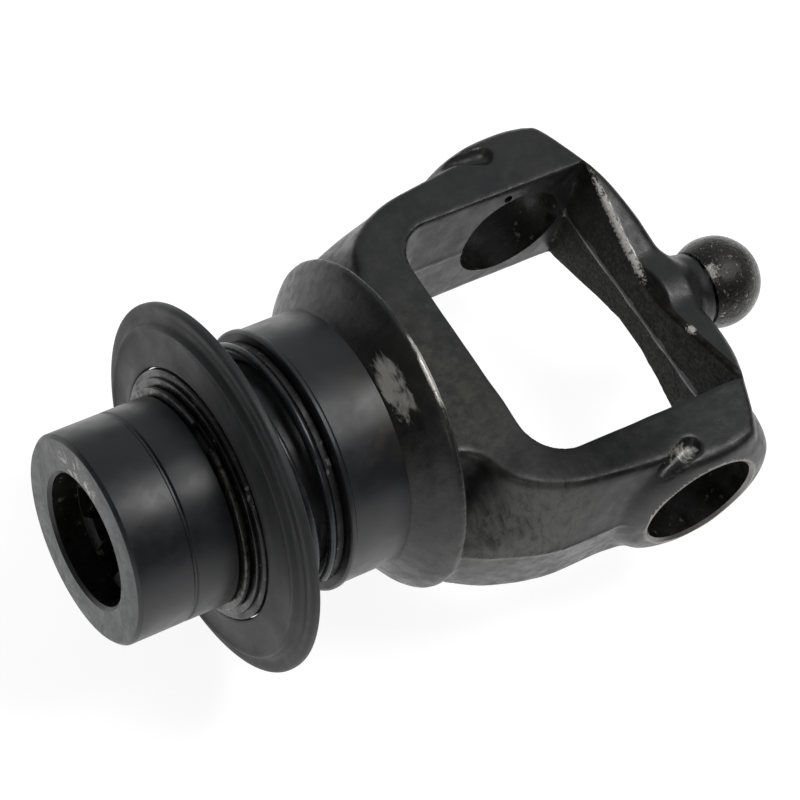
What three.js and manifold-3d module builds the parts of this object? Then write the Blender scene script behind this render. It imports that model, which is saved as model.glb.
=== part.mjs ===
// Tractor-side yoke of a wide-angle drive-shaft joint, with a quick-release slide collar.
// Units are millimetres. X runs along the shaft from the nose to the centring ball, Y runs through
// the two ear bores and Z is square to the open window. "Station" means the distance from the nose
// face; the finished group is shifted so that its origin is the middle of the whole part.

import * as THREE from 'three';
import { mergeVertices } from 'three/addons/utils/BufferGeometryUtils.js';
import Module from 'manifold-3d';

const wasm = await Module();
wasm.setup();

// ---- driving dimensions -------------------------------------------------------------------

const GAP = 0.3;                 // clearance between pieces that touch
const ROUND = 48;                // facets round a turned surface
const FINE_ROUND = 64;           // facets round the flange

// splined bore, six slots for a 1 3/8 inch shaft
const SPLINE_COUNT = 6;
const SPLINE_MINOR_R = 14.9;
const SPLINE_MAJOR_R = 17.45;
const SPLINE_SLOT = 8.7;
const MOUTH_R = 17.6;
const MOUTH_DEPTH = 8;
const MOUTH_CHAMFER = 0.4;

// turned hub
const NOSE_R = 27.75;
const NOSE_END = 28.1;
const MARK_GROOVE = 15.9;
const CLIP_GROOVE_R = 25.8;
const CLIP_GROOVE_END = 30.2;
const SHOULDER = 55.4;
const SHOULDER_R = 34.4;
const SHOULDER_LIP_R = 35;
const TURNED_END = 73.2;
const FORGED_R = 44.5;
const FORGED_CREST = 82;

// forged frame round the window
const FRAME_HALF_T = 20.5;
const FRAME_EDGE = 2;
const ARM_OUT = 51.5;
const WINDOW_START = 107.4;
const WINDOW_END = 168.7;
const WINDOW_HALF = 37.4;
const WINDOW_CORNER_R = 11;
const EAR_SWELL = 54;
const END_SHOULDER = 163.5;
const END_CORNER = [174.6, 34];
const BRIDGE_OUT = 178;
const BRIDGE_HALF_T = 10.5;
const BRIDGE_FLAT = 6;
const BRIDGE_SPREAD = 36;

// ears
const EAR_STATION = 149.7;
const EAR_FACE = 56.5;
const EAR_BORE_R = 15.5;
const EAR_LIP_R = 16.6;
const EAR_BOSS_R = 23.8;
const OIL_HOLE_R = 1.6;
const OIL_NOTCH_R = 5.2;
const OIL_STATION = 144.5;

// centring ball
const BALL_R = 12.5;
const BALL_STATION = 193;
const NECK_R = 10.6;
const BALL_FLAT = 186.5;
const SHANK_R = 6;
const SHANK_DEPTH = 12;

// quick-release collar and what it works on
const COLLAR_TRAVEL = 8;
const COLLAR_FRONT = 32.2;
const FLANGE_T = 1.9;
const FLANGE_HOLE_R = 33.5;
const FLANGE_RIDGE_R = 43.5;
const FLANGE_R = 49.1;
const SLEEVE_FRONT = 31.4;
const SLEEVE_BACK = 44.5;
const SLEEVE_STEP = 37.2;
const SLEEVE_STEP_R = 33.2;
const SLEEVE_R = 30.4;
const SLEEVE_BORE_R = 28.05;
const SLEEVE_MOUTH_R = 30.8;
const LOCK_BALL_R = 6.35;
const LOCK_BALL_STATION = 40.2;
const LOCK_BALL_REST = 21.4;
const LOCK_BALL_COUNT = 3;
const LOCK_BALL_TRAVEL = 2.4;
const BALL_HOLE_R = LOCK_BALL_R + GAP;
const CAM_SLOPE = LOCK_BALL_TRAVEL / COLLAR_TRAVEL;

// spring and rings
const WIRE_R = 1.2;
const SPRING_R = 32;
const SPRING_TURNS = 2.45;
const SPRING_END = 52.8;
const SEAT_BACK = SHOULDER - GAP;
const SEAT_FRONT = 53.1;
const SEAT_R = 32.2;
const CLIP_T = 1.5;
const CLIP_R = 29.5;
const CLIP_GAP_DEG = 16;
const BACKUP_T = 0.9;
const BACKUP_R = 31.3;

const HALF_LENGTH = (BALL_STATION + BALL_R) / 2;

// ---- materials ----------------------------------------------------------------------------

function material(color, roughness, metalness) {
  return new THREE.MeshStandardMaterial({ color, roughness, metalness });
}

const forgedBlack = material(0x26272a, 0.45, 0.3);
const stampedBlack = material(0x303236, 0.4, 0.4);
const darkSteel = material(0x3c3e42, 0.35, 0.8);
const greasySteel = material(0x1d1b19, 0.3, 0.7);
const wornSteel = material(0x5a564f, 0.25, 0.9);

// ---- solid helpers ------------------------------------------------------------------------

const vec2 = ([x, y]) => new THREE.Vector2(x, y);
const degrees = (angle) => (angle * Math.PI) / 180;

// Merges shared vertices and drops the flat triangles that a lathe leaves on its axis.
function weld(geometry) {
  const bare = geometry.clone();
  for (const name of ['normal', 'uv']) bare.deleteAttribute(name);
  const merged = mergeVertices(bare, 1e-4);
  const index = merged.getIndex().array;
  const kept = [];
  for (let i = 0; i < index.length; i += 3) {
    const [a, b, c] = [index[i], index[i + 1], index[i + 2]];
    if (a !== b && b !== c && c !== a) kept.push(a, b, c);
  }
  merged.setIndex(kept);
  return merged;
}

function signedVolume(geometry) {
  const p = geometry.getAttribute('position');
  const index = geometry.getIndex().array;
  const [a, b, c] = [new THREE.Vector3(), new THREE.Vector3(), new THREE.Vector3()];
  let sum = 0;
  for (let i = 0; i < index.length; i += 3) {
    a.fromBufferAttribute(p, index[i]);
    b.fromBufferAttribute(p, index[i + 1]);
    c.fromBufferAttribute(p, index[i + 2]);
    sum += a.dot(b.cross(c)) / 6;
  }
  return sum;
}

// Turns a three.js geometry into a solid whose faces point outwards.
function solid(geometry) {
  const welded = weld(geometry);
  const triVerts = Uint32Array.from(welded.getIndex().array);
  if (signedVolume(welded) < 0) {
    for (let i = 0; i < triVerts.length; i += 3) {
      [triVerts[i], triVerts[i + 1]] = [triVerts[i + 1], triVerts[i]];
    }
  }
  const vertProperties = Float32Array.from(welded.getAttribute('position').array);
  return new wasm.Manifold(new wasm.Mesh({ numProp: 3, vertProperties, triVerts }));
}

function geometryOf(manifold) {
  const mesh = manifold.getMesh();
  const geometry = new THREE.BufferGeometry();
  geometry.setAttribute('position', new THREE.BufferAttribute(mesh.vertProperties, 3));
  geometry.setIndex(new THREE.BufferAttribute(mesh.triVerts, 1));
  geometry.computeVertexNormals();
  return geometry;
}

function joined(...solids) {
  return solids.reduce((sum, next) => sum.add(next));
}

// A profile of [station, radius] corners turned round the X axis.
function turned(profile, facets = ROUND) {
  const lathe = new THREE.LatheGeometry(profile.map(([x, r]) => new THREE.Vector2(r, x)), facets);
  return solid(lathe.rotateZ(-Math.PI / 2));
}

// The same, for a closed ring profile.
function turnedRing(profile, facets = ROUND) {
  return turned([...profile, profile[0]], facets);
}

// A profile of [height, radius] corners turned round a line along +Y or -Y at a station.
function turnedAcross(profile, station, side, facets = ROUND) {
  const lathe = new THREE.LatheGeometry(profile.map(([y, r]) => new THREE.Vector2(r, side * y)), facets);
  return solid(lathe.translate(station, 0, 0));
}

// An outline in the XY plane made into a slab centred on Z = 0, with eased edges.
function slab(shape, halfThickness, edge = 0) {
  const options = {
    depth: 2 * (halfThickness - edge),
    bevelEnabled: edge > 0,
    bevelThickness: edge,
    bevelSize: edge,
    bevelOffset: -edge,
    bevelSegments: 2,
    curveSegments: 8,
  };
  const geometry = new THREE.ExtrudeGeometry(shape, options);
  return solid(geometry.translate(0, 0, -(halfThickness - edge)));
}

function block(size, centre) {
  return solid(new THREE.BoxGeometry(...size).translate(...centre));
}

// ---- yoke forging -------------------------------------------------------------------------

function hubSolid() {
  return turned([
    [0, 0], [0, NOSE_R - 0.6], [0.6, NOSE_R],
    [MARK_GROOVE - 1, NOSE_R], [MARK_GROOVE - 0.5, NOSE_R - 0.6],
    [MARK_GROOVE + 0.5, NOSE_R - 0.6], [MARK_GROOVE + 1, NOSE_R],
    [NOSE_END - 0.5, NOSE_R], [NOSE_END, NOSE_R - 0.5],
    [NOSE_END, CLIP_GROOVE_R], [CLIP_GROOVE_END, CLIP_GROOVE_R], [CLIP_GROOVE_END, NOSE_R],
    [SHOULDER, NOSE_R], [SHOULDER, SHOULDER_LIP_R - 0.3], [SHOULDER + 0.3, SHOULDER_LIP_R],
    [SHOULDER + 1.6, SHOULDER_LIP_R], [SHOULDER + 2.2, SHOULDER_R],
    [TURNED_END, SHOULDER_R], [74.4, 35.4], [76.4, 38], [78.4, 40.8], [80.4, 43.2],
    [FORGED_CREST, FORGED_R], [83.4, 43.9], [84.4, 42], [88.8, 28], [90.6, 20], [90.6, 0],
  ]);
}

// Outer outline of the frame: it swells out of the hub, runs straight to the ears and closes over
// the bridge. The upper half is drawn and mirrored.
function frameOutline() {
  const shape = new THREE.Shape();
  shape.moveTo(74, 0);
  for (const side of [1, -1]) {
    const half = new THREE.Path();
    half.moveTo(74, 0);
    half.lineTo(76, 34);
    half.bezierCurveTo(88, 42.5, 96, ARM_OUT, 112, ARM_OUT);
    half.lineTo(EAR_STATION - 6, ARM_OUT);
    half.bezierCurveTo(EAR_STATION, ARM_OUT, EAR_STATION, EAR_SWELL, END_SHOULDER, EAR_SWELL);
    half.lineTo(...END_CORNER);
    half.quadraticCurveTo(176.6, 27, BRIDGE_OUT, 0);
    const points = half.getPoints(8).map((p) => [p.x, side * p.y]);
    if (side < 0) points.reverse();
    for (const point of points.slice(1)) shape.lineTo(...point);
  }
  return shape;
}

function windowOutline() {
  const shape = new THREE.Shape();
  const [x0, x1, y, r] = [WINDOW_START, WINDOW_END, WINDOW_HALF, WINDOW_CORNER_R];
  shape.moveTo(x1, -y);
  shape.lineTo(x1, y);
  shape.lineTo(x0 + r, y);
  shape.absarc(x0 + r, y - r, r, Math.PI / 2, Math.PI, false);
  shape.lineTo(x0, -y + r);
  shape.absarc(x0 + r, -y + r, r, Math.PI, 1.5 * Math.PI, false);
  return shape;
}

// What is cut away above the bridge, so that it thins towards the ball. Used on both faces.
function bridgeRelief(side) {
  const shape = new THREE.Shape([
    [-BRIDGE_SPREAD, FRAME_HALF_T], [-BRIDGE_FLAT, BRIDGE_HALF_T],
    [BRIDGE_FLAT, BRIDGE_HALF_T], [BRIDGE_SPREAD, FRAME_HALF_T],
    [BRIDGE_SPREAD, 2 * FRAME_HALF_T], [-BRIDGE_SPREAD, 2 * FRAME_HALF_T],
  ].map(([y, z]) => new THREE.Vector2(y, side * z)));
  const depth = 20;
  const prism = new THREE.ExtrudeGeometry(shape, { depth, bevelEnabled: false });
  prism.rotateX(Math.PI / 2).rotateZ(Math.PI / 2);
  return solid(prism.translate(WINDOW_END - 4, 0, 0));
}

function earBoss(side) {
  const boss = turnedAcross([
    [WINDOW_HALF, 0], [WINDOW_HALF, EAR_BOSS_R], [51, EAR_BOSS_R - 0.6], [53.4, 22.3],
    [54.9, 20.8], [EAR_FACE - 0.5, 18.6], [EAR_FACE, EAR_LIP_R], [EAR_FACE, 0],
  ], EAR_STATION, side);
  return boss.intersect(block([60, 140, 2 * FRAME_HALF_T], [EAR_STATION, 0, 0]));
}

function earBore(side) {
  return turnedAcross([
    [WINDOW_HALF - 5, 0], [WINDOW_HALF - 5, EAR_BORE_R], [EAR_FACE - 0.6, EAR_BORE_R],
    [EAR_FACE + 0.1, EAR_BORE_R + 0.7], [EAR_FACE + 4, EAR_BORE_R + 0.7], [EAR_FACE + 4, 0],
  ], EAR_STATION, side);
}

function neckSolid() {
  return turned([
    [170, 0], [170, 12.9], [BRIDGE_OUT - 0.6, 12.9], [BRIDGE_OUT + 0.6, 11.9],
    [BRIDGE_OUT + 2.2, 11], [BRIDGE_OUT + 4, NECK_R],
    [BALL_FLAT - GAP, NECK_R], [BALL_FLAT - GAP, 0],
  ]);
}

// The bore through the hub: a plain mouth, then six slots that a splined shaft slides into.
function splineSection() {
  const shape = new THREE.Shape();
  const slotHalf = Math.asin(SPLINE_SLOT / 2 / SPLINE_MAJOR_R);
  const rootHalf = Math.asin(SPLINE_SLOT / 2 / SPLINE_MINOR_R);
  const pitch = (2 * Math.PI) / SPLINE_COUNT;
  for (let i = 0; i < SPLINE_COUNT; i += 1) {
    const middle = i * pitch;
    shape.absarc(0, 0, SPLINE_MAJOR_R, middle - slotHalf, middle + slotHalf, false);
    shape.absarc(0, 0, SPLINE_MINOR_R, middle + rootHalf, middle + pitch - rootHalf, false);
  }
  return shape;
}

function boreSolid() {
  const options = { depth: WINDOW_START + 2, bevelEnabled: false, curveSegments: 4 };
  const splines = new THREE.ExtrudeGeometry(splineSection(), options).rotateY(Math.PI / 2);
  const mouth = turned([
    [-1, 0], [-1, MOUTH_R + 1 + MOUTH_CHAMFER], [MOUTH_CHAMFER, MOUTH_R],
    [MOUTH_DEPTH, MOUTH_R], [MOUTH_DEPTH + 1.5, SPLINE_MINOR_R - 0.2], [MOUTH_DEPTH + 1.5, 0],
  ]);
  return joined(solid(splines.translate(-0.5, 0, 0)), mouth);
}

function ballAngle(i) {
  return ((i + 0.5) * 2 * Math.PI) / LOCK_BALL_COUNT;
}

function ballHole(i) {
  const hole = new THREE.CylinderGeometry(BALL_HOLE_R, BALL_HOLE_R, 20, 24);
  hole.translate(0, SPLINE_MINOR_R + 6, 0).rotateX(ballAngle(i));
  return solid(hole.translate(LOCK_BALL_STATION, 0, 0));
}

// A small grease hole from a notch beside the ear down into its bore.
function oilHole(side) {
  const notch = new THREE.SphereGeometry(OIL_NOTCH_R, 16, 10);
  notch.translate(OIL_STATION, side * (ARM_OUT + 2.8), FRAME_HALF_T + 1.4);
  const hole = new THREE.CylinderGeometry(OIL_HOLE_R, OIL_HOLE_R, 16, 12);
  hole.rotateX(Math.PI / 2).translate(OIL_STATION + 1, side * (ARM_OUT + 2.3), FRAME_HALF_T - 4);
  return joined(solid(notch), solid(hole));
}

function yokeForging() {
  let yoke = joined(hubSolid(), slab(frameOutline(), FRAME_HALF_T, FRAME_EDGE));
  yoke = yoke.subtract(slab(windowOutline(), 2 * FRAME_HALF_T));
  for (const side of [1, -1]) yoke = yoke.subtract(bridgeRelief(side));
  for (const side of [1, -1]) yoke = yoke.add(earBoss(side));
  yoke = yoke.add(neckSolid());
  for (const side of [1, -1]) yoke = yoke.subtract(earBore(side)).subtract(oilHole(side));
  yoke = yoke.subtract(boreSolid());
  for (let i = 0; i < LOCK_BALL_COUNT; i += 1) yoke = yoke.subtract(ballHole(i));
  const shankHole = turned([
    [BALL_FLAT - SHANK_DEPTH - GAP, 0], [BALL_FLAT - SHANK_DEPTH - GAP, SHANK_R + GAP],
    [BALL_FLAT + 1, SHANK_R + GAP], [BALL_FLAT + 1, 0],
  ], 24);
  return yoke.subtract(shankHole);
}

// ---- other pieces -------------------------------------------------------------------------

// The ball on its pressed shank, turned as one piece.
function centringBall() {
  const profile = [[BALL_FLAT - SHANK_DEPTH, 0], [BALL_FLAT - SHANK_DEPTH, SHANK_R], [BALL_FLAT, SHANK_R]];
  const steps = 16;
  const start = Math.acos((BALL_STATION - BALL_FLAT) / BALL_R);
  for (let i = 0; i <= steps; i += 1) {
    const angle = start + ((Math.PI - start) * i) / steps;
    profile.push([BALL_STATION - BALL_R * Math.cos(angle), i < steps ? BALL_R * Math.sin(angle) : 0]);
  }
  return turned(profile, 32);
}

// Stamped flange: a dished face, a ridge and a rim rolled back towards the yoke.
function collarFlange() {
  const front = COLLAR_FRONT;
  return turnedRing([
    [front, FLANGE_HOLE_R], [front + 0.3, 36], [front + 1.2, FLANGE_RIDGE_R],
    [front + 1.9, FLANGE_RIDGE_R + 2.4], [front + 2.4, FLANGE_R - 1.1], [front + 3, FLANGE_R],
    [front + 5.2, FLANGE_R], [front + 5.8, FLANGE_R - 0.8], [front + 5.6, FLANGE_R - 1.8],
    [front + 4.2, FLANGE_R - 2.6], [front + FLANGE_T + 1.7, FLANGE_RIDGE_R],
    [front + FLANGE_T + 0.4, 36], [front + FLANGE_T + 0.2, FLANGE_HOLE_R],
  ], FINE_ROUND);
}

// Inside the sleeve a cone pushes the locking balls in. The cone widens towards the nose, so the
// balls are freed as the collar slides back.
function collarSleeve() {
  const contact = LOCK_BALL_REST + (LOCK_BALL_R + GAP) * Math.hypot(1, CAM_SLOPE);
  const coneEnd = LOCK_BALL_STATION + (contact - SLEEVE_BORE_R) / CAM_SLOPE;
  const coneStart = LOCK_BALL_STATION + (contact - SLEEVE_MOUTH_R) / CAM_SLOPE;
  return turnedRing([
    [SLEEVE_FRONT, SLEEVE_MOUTH_R], [SLEEVE_FRONT, SLEEVE_STEP_R - 0.4],
    [SLEEVE_FRONT + 0.4, SLEEVE_STEP_R], [SLEEVE_STEP, SLEEVE_STEP_R],
    [SLEEVE_STEP, SLEEVE_R], [SLEEVE_BACK, SLEEVE_R], [SLEEVE_BACK, SLEEVE_BORE_R],
    [coneEnd, SLEEVE_BORE_R], [coneStart, SLEEVE_MOUTH_R],
  ]);
}

// Centre line of the spring wire: flat at the seat end, open to the sleeve, and flat again there.
class SpringLine extends THREE.Curve {
  getPoint(t, target = new THREE.Vector3()) {
    const turns = t * SPRING_TURNS;
    const back = SPRING_END - WIRE_R;
    const front = SLEEVE_STEP + GAP + WIRE_R;
    const run = THREE.MathUtils.smootherstep(turns, 0.35, SPRING_TURNS - 0.45);
    const angle = degrees(-100) + turns * 2 * Math.PI;
    const station = THREE.MathUtils.lerp(back, front, run);
    return target.set(station, SPRING_R * Math.sin(angle), SPRING_R * Math.cos(angle));
  }
}

function springGeometry() {
  const section = new THREE.Shape();
  section.absarc(0, 0, WIRE_R, 0, 2 * Math.PI, false);
  const options = { extrudePath: new SpringLine(), steps: 66, curveSegments: 4, bevelEnabled: false };
  return geometryOf(solid(new THREE.ExtrudeGeometry(section, options)));
}

function springSeat() {
  const inner = NOSE_R + GAP;
  return turnedRing([[SEAT_FRONT, inner], [SEAT_FRONT, SEAT_R], [SEAT_BACK, SEAT_R], [SEAT_BACK, inner]]);
}

function backupWasher() {
  const [inner, front] = [NOSE_R + GAP, CLIP_GROOVE_END + 0.3];
  return turnedRing([
    [front, inner], [front, BACKUP_R], [front + BACKUP_T, BACKUP_R], [front + BACKUP_T, inner],
  ]);
}

// The split clip in the groove, with the ends of the split left open.
function retainingClip() {
  const front = NOSE_END + GAP;
  const [inner, outer] = [CLIP_GROOVE_R + GAP, CLIP_R];
  const ring = turnedRing([
    [front, inner], [front, outer], [front + CLIP_T, outer], [front + CLIP_T, inner],
  ]);
  const width = 2 * CLIP_R * Math.sin(degrees(CLIP_GAP_DEG / 2));
  return ring.subtract(block([6, width, 10], [front, 0, CLIP_R - 2]));
}

function lockBall(i) {
  const ball = new THREE.SphereGeometry(LOCK_BALL_R, 16, 12);
  ball.translate(0, LOCK_BALL_REST, 0).rotateX(ballAngle(i));
  return geometryOf(solid(ball.translate(LOCK_BALL_STATION, 0, 0)));
}

// ---- assembly -----------------------------------------------------------------------------

const part = new THREE.Group();
part.position.x = -HALF_LENGTH;

function addPiece(name, geometry, finish) {
  const mesh = new THREE.Mesh(geometry, finish);
  mesh.name = name;
  part.add(mesh);
}

addPiece('yoke_forging', geometryOf(yokeForging()), forgedBlack);
addPiece('centring_ball', geometryOf(centringBall()), wornSteel);
addPiece('collar_flange', geometryOf(collarFlange()), stampedBlack);
addPiece('collar_sleeve', geometryOf(collarSleeve()), darkSteel);
addPiece('collar_spring', springGeometry(), darkSteel);
addPiece('spring_seat', geometryOf(springSeat()), greasySteel);
addPiece('backup_washer', geometryOf(backupWasher()), greasySteel);
addPiece('retaining_clip', geometryOf(retainingClip()), darkSteel);
for (let i = 0; i < LOCK_BALL_COUNT; i += 1) {
  addPiece(`lock_ball_${i + 1}`, lockBall(i), wornSteel);
}

export default part;
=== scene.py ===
"""Looks of a wide-angle drive shaft yoke with a quick-release slide collar.

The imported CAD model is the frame. Shapes here are worked out in millimetres along the shaft: a
"station" is the distance from the nose face. Every piece is moved into the frame, in metres, as it
is made.
"""

import math

import bpy
import numpy as np
from mathutils import Matrix, Vector

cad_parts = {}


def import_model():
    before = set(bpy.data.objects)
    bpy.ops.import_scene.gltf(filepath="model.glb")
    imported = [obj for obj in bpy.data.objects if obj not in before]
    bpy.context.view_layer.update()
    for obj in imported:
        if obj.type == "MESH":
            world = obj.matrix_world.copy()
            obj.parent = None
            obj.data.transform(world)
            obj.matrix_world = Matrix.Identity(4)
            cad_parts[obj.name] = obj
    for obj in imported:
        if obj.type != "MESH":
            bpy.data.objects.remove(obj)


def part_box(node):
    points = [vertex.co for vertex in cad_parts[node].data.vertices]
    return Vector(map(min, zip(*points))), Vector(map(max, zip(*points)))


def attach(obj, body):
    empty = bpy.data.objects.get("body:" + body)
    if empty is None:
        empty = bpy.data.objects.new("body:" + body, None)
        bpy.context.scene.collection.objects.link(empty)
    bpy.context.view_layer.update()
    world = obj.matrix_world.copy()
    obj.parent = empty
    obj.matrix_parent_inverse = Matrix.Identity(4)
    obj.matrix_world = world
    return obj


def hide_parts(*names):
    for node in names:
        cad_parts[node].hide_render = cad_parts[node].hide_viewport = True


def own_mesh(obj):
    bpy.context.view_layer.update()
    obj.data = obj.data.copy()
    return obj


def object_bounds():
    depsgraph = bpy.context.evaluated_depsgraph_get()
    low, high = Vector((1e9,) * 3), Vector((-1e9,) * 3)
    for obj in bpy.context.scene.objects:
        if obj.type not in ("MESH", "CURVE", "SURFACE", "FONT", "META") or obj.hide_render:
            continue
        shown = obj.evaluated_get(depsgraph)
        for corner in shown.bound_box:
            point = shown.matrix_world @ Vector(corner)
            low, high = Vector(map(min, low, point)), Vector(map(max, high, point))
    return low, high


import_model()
CAD_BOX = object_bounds()

MM = 0.001
NOSE_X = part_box("yoke_forging")[0].x / MM


def span(node, axis=0):
    """Lowest and highest value of a CAD node along an axis, in mm, as stations when the axis is X."""
    low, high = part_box(node)
    shift = NOSE_X if axis == 0 else 0
    return low[axis] / MM - shift, high[axis] / MM - shift


# ---- sizes, in mm ---------------------------------------------------------------------------

NOSE_R = 27.75
NOSE_END = 28.1
MARK_GROOVE = 15.2
CLIP_GROOVE_END = 30.2
CLIP_GROOVE_R = 25.8
SHOULDER = 55.4
SHOULDER_R = 35
TURNED_R = 34.4
TURNED_END = 73.2
MOUTH_R = 17.6
MOUTH_DEPTH = 8
SPLINE_MINOR_R = 14.9
SPLINE_MAJOR_R = 17.45
SPLINE_SLOT = 8.7
SPLINE_COUNT = 6

HALF_T = 20.5
WINDOW_START = 107.9
WINDOW_END = 168.7
WINDOW_HALF = 37.4
WINDOW_CORNER = 11
BRIDGE_HALF_T = 10.5
BRIDGE_FLAT = 6
BRIDGE_SPREAD = 36
EAR_STATION = 149.7
EAR_FACE = span("yoke_forging", 1)[1]
EAR_BORE_R = 15.5

BALL_R = span("centring_ball", 1)[1]
BALL_STATION = span("centring_ball")[1] - BALL_R
BALL_FLAT = 186.5
SHANK_R = 6
SHANK_DEPTH = 12

LOCK_BALL_COUNT = 3
LOCK_BALL_STATION = 40.2
LOCK_BALL_REST = 21.4
BALL_HOLE_R = 6.65
OIL_STATION = 145.5
COLLAR_FRONT = span("collar_flange")[0]
WIRE_R = 1.2
SPRING_R = 32
SPRING_TURNS = 2.45
SPRING_FLAT_AT_SEAT = 0.35
SPRING_FLAT_AT_SLEEVE = 0.45
SPRING_START = math.radians(-100)

# The forging's mesh step, the quarter that is worked out, and what the dies left on its skin.
FORGED_STEP = 0.7
FORGED_QUARTER = ((64, 188.5), (0, 60), (0, 48.5))
DRAFT = 4.2
WINDOW_DRAFT = 1.1
PARTING_RIDGE = 0.35
RIPPLE = 0.11
NOTCH_START = 135
NOTCH_RUN = 9.5
FAR_INSIDE = -30


# ---- curves and outlines --------------------------------------------------------------------

def smooth_path(points, steps=6):
    """A Catmull-Rom curve through given points."""
    pts = np.array(points, float)
    padded = np.vstack([2 * pts[0] - pts[1], pts, 2 * pts[-1] - pts[-2]])
    out = []
    for i in range(1, len(padded) - 2):
        a, b, c, d = padded[i - 1:i + 3]
        for t in np.linspace(0, 1, steps, endpoint=False):
            out.append(0.5 * (2 * b + (c - a) * t + (2 * a - 5 * b + 4 * c - d) * t ** 2
                              + (3 * b - 3 * c + d - a) * t ** 3))
    out.append(pts[-1])
    return [tuple(p) for p in out]


def eased(profile, radius, closed=True, steps=3):
    """Rounds each corner of a profile, by no more than a third of its shorter side."""
    count = len(profile)
    out = []
    for i, corner in enumerate(profile):
        if not closed and i in (0, count - 1):
            out.append(tuple(corner))
            continue
        here = np.array(corner, float)
        before = np.array(profile[i - 1], float) - here
        after = np.array(profile[(i + 1) % count], float) - here
        reach = min(radius, np.linalg.norm(before) / 3, np.linalg.norm(after) / 3)
        start = here + before / np.linalg.norm(before) * reach
        end = here + after / np.linalg.norm(after) * reach
        for t in np.linspace(0, 1, steps + 1):
            out.append(tuple((1 - t) ** 2 * start + 2 * t * (1 - t) * here + t ** 2 * end))
    return out


# ---- mesh building --------------------------------------------------------------------------

def to_frame(points):
    """Station millimetres to frame metres."""
    return (np.asarray(points, float) + (NOSE_X, 0, 0)) * MM


def mesh_object(name, points, faces, materials):
    """A linked object from station points and faces."""
    mesh = bpy.data.meshes.new(name)
    mesh.from_pydata(to_frame(points).tolist(), [], [tuple(f) for f in faces])
    mesh.validate()
    obj = bpy.data.objects.new(name, mesh)
    bpy.context.scene.collection.objects.link(obj)
    for material in materials:
        mesh.materials.append(material)
    soften(obj)
    return obj


def soften(obj):
    """Smooth shading that stays sharp at real edges."""
    mesh = obj.data
    mesh.polygons.foreach_set("use_smooth", np.ones(len(mesh.polygons), bool))
    mesh.set_sharp_from_angle(angle=math.radians(35))


def grid_faces(rings, count, close_rings=False):
    """Quads between rings of points, each ring closed on itself."""
    faces = []
    last = rings if close_rings else rings - 1
    for i in range(last):
        for j in range(count):
            a = i * count + j
            b = i * count + (j + 1) % count
            c = ((i + 1) % rings) * count + (j + 1) % count
            d = ((i + 1) % rings) * count + j
            faces.append((a, d, c, b))
    return faces


def turned(profile, segments=160, ring=True, across=None):
    """Points and faces of [station, radius] corners turned round X, or round Y at a station."""
    angles = np.arange(segments) * 2 * math.pi / segments
    points = []
    for along, radius in profile:
        for angle in angles:
            u, v = radius * math.cos(angle), radius * math.sin(angle)
            if across is None:
                points.append((along, u, v))
            else:
                points.append((across + v, along, u))
    faces = grid_faces(len(profile), segments, close_rings=ring)
    if not ring:
        faces.append(tuple(range(segments)))
        faces.append(tuple(reversed(range((len(profile) - 1) * segments, len(profile) * segments))))
    return points, faces


def outward(obj):
    """Makes all faces of a closed mesh point out."""
    mesh = obj.data
    points = np.empty(len(mesh.vertices) * 3)
    mesh.vertices.foreach_get("co", points)
    points = points.reshape(-1, 3)
    mesh.calc_loop_triangles()
    tris = np.empty(len(mesh.loop_triangles) * 3, int)
    mesh.loop_triangles.foreach_get("vertices", tris)
    a, b, c = (points[tris.reshape(-1, 3)[:, i]] for i in range(3))
    if np.einsum("ij,ij->i", a, np.cross(b, c)).sum() < 0:
        mesh.flip_normals()
    return obj


def lathe(name, profile, materials, segments=160, ring=True, across=None, ease=0.25):
    """A turned object: a closed ring section, or a solid whose two ends are flat caps."""
    points, faces = turned(eased(profile, ease, closed=ring), segments, ring, across)
    return outward(mesh_object(name, points, faces, materials))


def boolean(target, tool, operation):
    """Joins or cuts target with tool, and removes the tool."""
    modifier = target.modifiers.new("boolean", "BOOLEAN")
    modifier.operation = operation
    modifier.solver = "MANIFOLD"
    modifier.object = tool
    bpy.context.view_layer.update()
    evaluated = target.evaluated_get(bpy.context.evaluated_depsgraph_get())
    made = bpy.data.meshes.new_from_object(evaluated)
    target.modifiers.clear()
    target.data = made
    bpy.data.objects.remove(tool)
    return target


# ---- the forged body, as a distance field ---------------------------------------------------

def smooth_min(a, b, k):
    """The lower of two distances, with a fillet about k wide where they meet."""
    h = np.clip(0.5 + 0.5 * (b - a) / k, 0, 1)
    return b + (a - b) * h - k * h * (1 - h)


def smooth_max(a, b, k):
    return -smooth_min(-a, -b, k)


def smoothstep(low, high, x):
    t = np.clip((x - low) / (high - low), 0, 1)
    return t * t * (3 - 2 * t)


def polygon_distance(px, py, corners):
    """Signed distance from points to a closed polygon, negative inside."""
    best = np.full(px.shape, np.inf)
    inside = np.zeros(px.shape, bool)
    for (ax, ay), (bx, by) in zip(corners, corners[1:] + corners[:1]):
        ex, ey = bx - ax, by - ay
        wx, wy = px - ax, py - ay
        t = np.clip((wx * ex + wy * ey) / (ex * ex + ey * ey), 0, 1)
        best = np.minimum(best, (wx - ex * t) ** 2 + (wy - ey * t) ** 2)
        crosses = (ay <= py) != (by <= py)
        inside ^= crosses & ((ex * wy - ey * wx > 0) == (by > ay))
    return np.where(inside, -1, 1) * np.sqrt(best)


# Half outline of the frame at its parting plane, from inside the hub round the ear to the bridge.
FRAME_EDGE = [(80, -6), (80, 40)] + smooth_path([
    (83.2, 43.4), (87.7, 46), (91.1, 47.6), (95.3, 49.2), (102, 51.5), (108.6, 52.9), (116, 53.3),
    (130, 53.2), (138, 53.4), (146, 54.6), (154, 55.4), (160, 55.2),
]) + smooth_path([
    (163.6, 54.2), (166, 50.6), (175, 34), (177.4, 26), (178.7, 16), (179, 6),
]) + [(179, -6)]

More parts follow.
